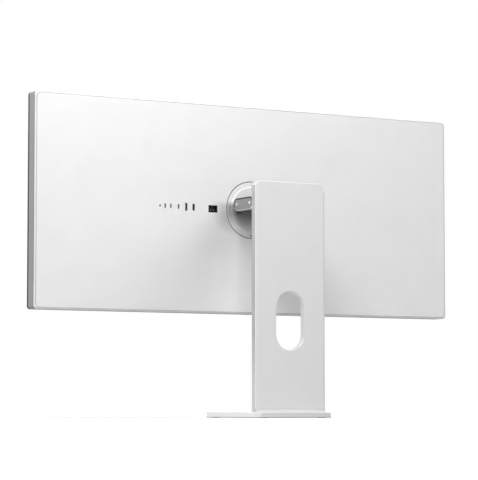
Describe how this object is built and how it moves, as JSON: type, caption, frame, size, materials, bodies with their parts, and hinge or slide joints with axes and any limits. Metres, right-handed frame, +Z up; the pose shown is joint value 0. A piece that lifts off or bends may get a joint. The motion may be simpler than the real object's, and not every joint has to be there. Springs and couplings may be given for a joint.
{
  "type": "computer monitor",
  "caption": "Slim ultrawide monitor on a plate stand with a cable hole; the head slides up and down the column, tilts on a flat arm, and has rear sockets and a power key.",
  "frame": {"origin": "middle of the footprint, on the desk under the rubber feet", "axes": "+Z up, screen facing -Y, +X to the right of somebody who looks at the screen"},
  "size_m": [0.946, 0.213, 0.6207],
  "materials": {
    "stand_paint": "fine satin silver paint over cast aluminium",
    "base_paint": "fine satin silver paint over a steel plate",
    "stand_lid": "satin silver paint",
    "arm_paint": "satin mid-grey paint over die-cast aluminium",
    "arm_lid": "fine moulded grain",
    "arm_plate": "fine brushed, satin",
    "hub_paint": "fine satin silver paint over cast aluminium",
    "cover_plastic": "satin silver-white paint over moulded plastic",
    "frame_plastic": "fine moulded grain, grey",
    "bezel_plastic": "fine moulded grain, near black",
    "screen_glass": "anti-glare polariser, switched off",
    "optical_film": "diffusing film",
    "guide_acrylic": "clear acrylic",
    "reflector_film": "white film",
    "chassis_steel": "zinc-coated pressed sheet",
    "lamp_board": "white board with lamps",
    "foot_rubber": "dull moulded",
    "steel": "plated",
    "dark_screw": "black oxide",
    "spring_steel": "rolled strip",
    "bright_pin": "polished dome",
    "glide_plastic": "natural acetal",
    "socket_plastic": "moulded",
    "inlet_plastic": "moulded",
    "contact_metal": "tin-plated",
    "port_shell": "plated shell",
    "board_laminate": "solder mask",
    "ribbon_film": "polyimide film",
    "lead_jacket": "insulated wire",
    "button_plastic": "fine moulded grain"
  },
  "bodies": {
    "stand": {"base_plate": "base_paint", "rubber_feet": "foot_rubber", "base_screws": "dark_screw", "column": "stand_paint", "well_lid": "stand_lid", "well_lid_screws": "dark_screw", "left_guide_rail": "steel", "right_guide_rail": "steel", "rail_screws": "steel", "spring_anchors": "steel", "left_spring_strip": "spring_steel", "right_spring_strip": "spring_steel"},
    "carriage": {"carriage": "steel", "glide_shoes": "glide_plastic", "drum_pins": "steel", "arm": "arm_paint", "arm_belly_cover": "arm_lid", "left_arm_plate": "arm_plate", "right_arm_plate": "arm_plate", "arm_plate_screws": "bright_pin", "arm_screws": "steel", "tilt_pin": "bright_pin", "friction_washers": "spring_steel"},
    "left_drum": {"left_spring_spool": "glide_plastic", "left_spring_coil": "spring_steel"},
    "right_drum": {"right_spring_spool": "glide_plastic", "right_spring_coil": "spring_steel"},
    "head": {"hub": "hub_paint", "hub_socket": "steel", "hub_screws": "steel", "hub_lock_screw": "dark_screw", "hub_posts": "steel", "rear_cover": "cover_plastic", "middle_frame": "frame_plastic", "cover_screws": "steel", "front_bezel": "bezel_plastic", "lcd_panel": "screen_glass", "film_stack": "optical_film", "light_guide": "guide_acrylic", "reflector_sheet": "reflector_film", "panel_chassis": "chassis_steel", "led_bar": "lamp_board", "headphone_jack": "socket_plastic", "ac_inlet": "inlet_plastic", "inlet_pins": "contact_metal", "main_board": "board_laminate", "io_board": "board_laminate", "power_board": "board_laminate", "timing_board": "board_laminate", "board_standoffs": "contact_metal", "panel_ribbon": "ribbon_film", "inlet_leads": "lead_jacket", "button_board": "board_laminate", "usb_c_port_1": "port_shell", "usb_c_port_2": "port_shell", "usb_c_port_3": "port_shell", "hdmi_port": "port_shell", "usb_a_port": "port_shell"},
    "button": {"power_button": "button_plastic"}
  },
  "joints": [
    {"name": "height", "type": "slide", "parent": "stand", "child": "carriage", "axis": [0, 0, 1], "range_m": [-0.12, 0], "deforming": ["left_spring_strip", "right_spring_strip"]},
    {"name": "tilt", "type": "hinge", "parent": "carriage", "child": "head", "pos_m": [0, -0.0455, 0.4205], "axis": [-1, 0, 0], "range_deg": [-5, 20]},
    {"name": "right_drum_turn", "type": "hinge", "parent": "carriage", "child": "right_drum", "pos_m": [0.043, 0.079, 0.412], "axis": [0, 1, 0], "range_deg": [0, 560]},
    {"name": "left_drum_turn", "type": "hinge", "parent": "carriage", "child": "left_drum", "pos_m": [-0.043, 0.079, 0.412], "axis": [0, 1, 0], "range_deg": [-560, 0]},
    {"name": "power_key", "type": "slide", "parent": "head", "child": "button", "axis": [0, 0, 1], "range_m": [0, 0.0008], "stiffness_N_per_m": 1500, "springref_m": -0.0002}
  ],
  "couplings": [
    {"joint": "right_drum_turn", "follows": "height", "rad_per_m": -81.301},
    {"joint": "left_drum_turn", "follows": "height", "rad_per_m": 81.301}
  ]
}
